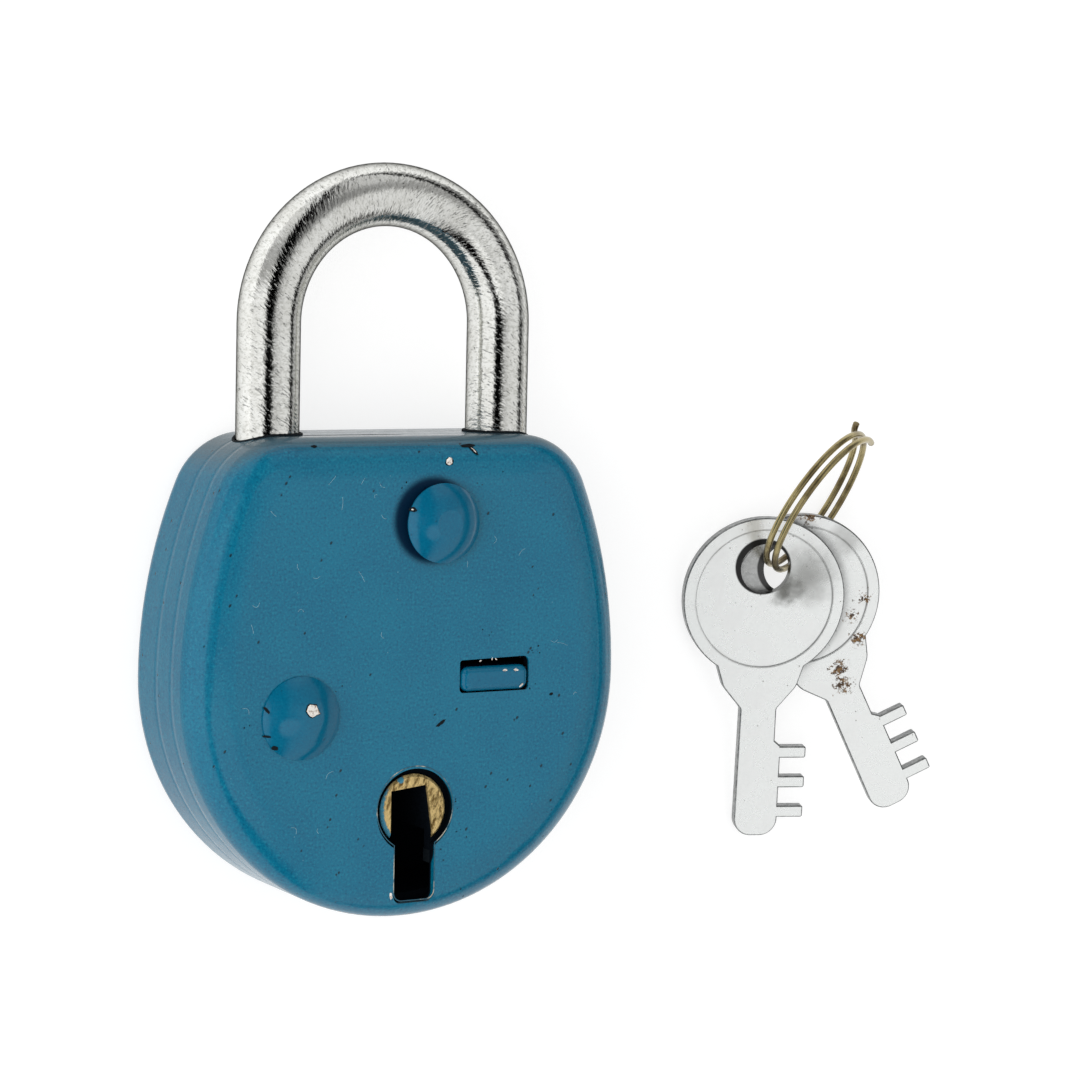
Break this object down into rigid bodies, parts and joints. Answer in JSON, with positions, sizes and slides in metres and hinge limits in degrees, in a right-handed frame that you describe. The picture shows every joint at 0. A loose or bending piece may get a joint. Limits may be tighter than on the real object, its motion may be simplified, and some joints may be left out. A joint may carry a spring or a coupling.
{
  "type": "padlock",
  "caption": "Lever padlock with a round-bottomed painted steel case, a plated U shackle, an open keyhole over a brass drum, and flat keys on a split ring.",
  "frame": {"origin": "on the flat rear face of the case, on the axis of its round lower end", "axes": "+X to the right seen from the front, +Y toward the shackle, +Z out of the front face; the lock lies on its rear face"},
  "size_m": [0.1262, 0.1021, 0.0232],
  "materials": {
    "case_paint": "semi-gloss teal blue enamel on pressed steel, with small chips and hair scratches",
    "rivet_paint": "the same enamel over peened rivet heads, thicker and glossier",
    "shackle_steel": "bright plated steel rod with fine lengthwise drawing marks and small pits",
    "inner_steel": "plain stamped steel",
    "spring_steel": "tempered spring steel",
    "drum_brass": "rough cast brass",
    "key_nickel": "nickel plated stamped steel, satin with a bright edge",
    "ring_wire": "tarnished brass plated spring wire"
  },
  "bodies": {
    "case": {"rear_case": "case_paint", "case_band": "case_paint", "front_case": "case_paint", "heel_guide": "inner_steel", "lever_rivet": "rivet_paint", "upper_rivet": "rivet_paint", "lever_spacers": "inner_steel", "upper_spacers": "inner_steel", "guide_block": "rivet_paint", "drum_collar": "inner_steel", "rear_bush": "inner_steel", "spring_post": "inner_steel", "lever_springs": "spring_steel"},
    "shackle": {"shackle": "shackle_steel", "heel_ring": "spring_steel"},
    "bolt": {"bolt_plate": "inner_steel", "bolt_stump": "inner_steel"},
    "lever_1": {"lever_1": "inner_steel"},
    "lever_2": {"lever_2": "inner_steel"},
    "lever_3": {"lever_3": "inner_steel"},
    "lever_4": {"lever_4": "inner_steel"},
    "key_drum": {"key_drum": "drum_brass"},
    "key_ring": {"key_ring": "ring_wire"},
    "front_key": {"front_key": "key_nickel"},
    "rear_key": {"rear_key": "key_nickel"}
  },
  "joints": [
    {"name": "shackle_lift", "type": "slide", "parent": "case", "child": "shackle", "axis": [0, 1, 0], "range_m": [0, 0.013]},
    {"name": "bolt_slide", "type": "slide", "parent": "case", "child": "bolt", "axis": [1, 0, 0], "range_m": [0, 0.0034]},
    {"name": "lever_1_swing", "type": "hinge", "parent": "case", "child": "lever_1", "pos_m": [-0.0166, -0.004, 0.01], "axis": [0, 0, 1], "range_deg": [-4.5, 0]},
    {"name": "lever_2_swing", "type": "hinge", "parent": "case", "child": "lever_2", "pos_m": [-0.0166, -0.004, 0.01], "axis": [0, 0, 1], "range_deg": [-4.5, 0]},
    {"name": "lever_3_swing", "type": "hinge", "parent": "case", "child": "lever_3", "pos_m": [-0.0166, -0.004, 0.01], "axis": [0, 0, 1], "range_deg": [-4.5, 0]},
    {"name": "lever_4_swing", "type": "hinge", "parent": "case", "child": "lever_4", "pos_m": [-0.0166, -0.004, 0.01], "axis": [0, 0, 1], "range_deg": [-4.5, 0]},
    {"name": "drum_turn", "type": "hinge", "parent": "case", "child": "key_drum", "pos_m": [0.0007, -0.0176, 0.01], "axis": [0, 0, 1], "continuous": true},
    {"name": "keys_lift", "type": "slide", "parent": "case", "child": "key_ring", "axis": [0, 0, 1], "range_m": [0, 0.05]},
    {"name": "front_key_swing", "type": "hinge", "parent": "key_ring", "child": "front_key", "pos_m": [0.06605, 0.012, 0.00472], "axis": [-0.3401, -0.1045, 0.9345], "range_deg": [0, 30]},
    {"name": "rear_key_swing", "type": "hinge", "parent": "key_ring", "child": "rear_key", "pos_m": [0.07038, 0.0119, 0.00423], "axis": [-0.3401, -0.1045, 0.9345], "range_deg": [-6, 30]}
  ],
  "couplings": [
    {"joint": "lever_2_swing", "follows": "lever_1_swing", "ratio": 1},
    {"joint": "lever_3_swing", "follows": "lever_1_swing", "ratio": 1},
    {"joint": "lever_4_swing", "follows": "lever_1_swing", "ratio": 1}
  ]
}
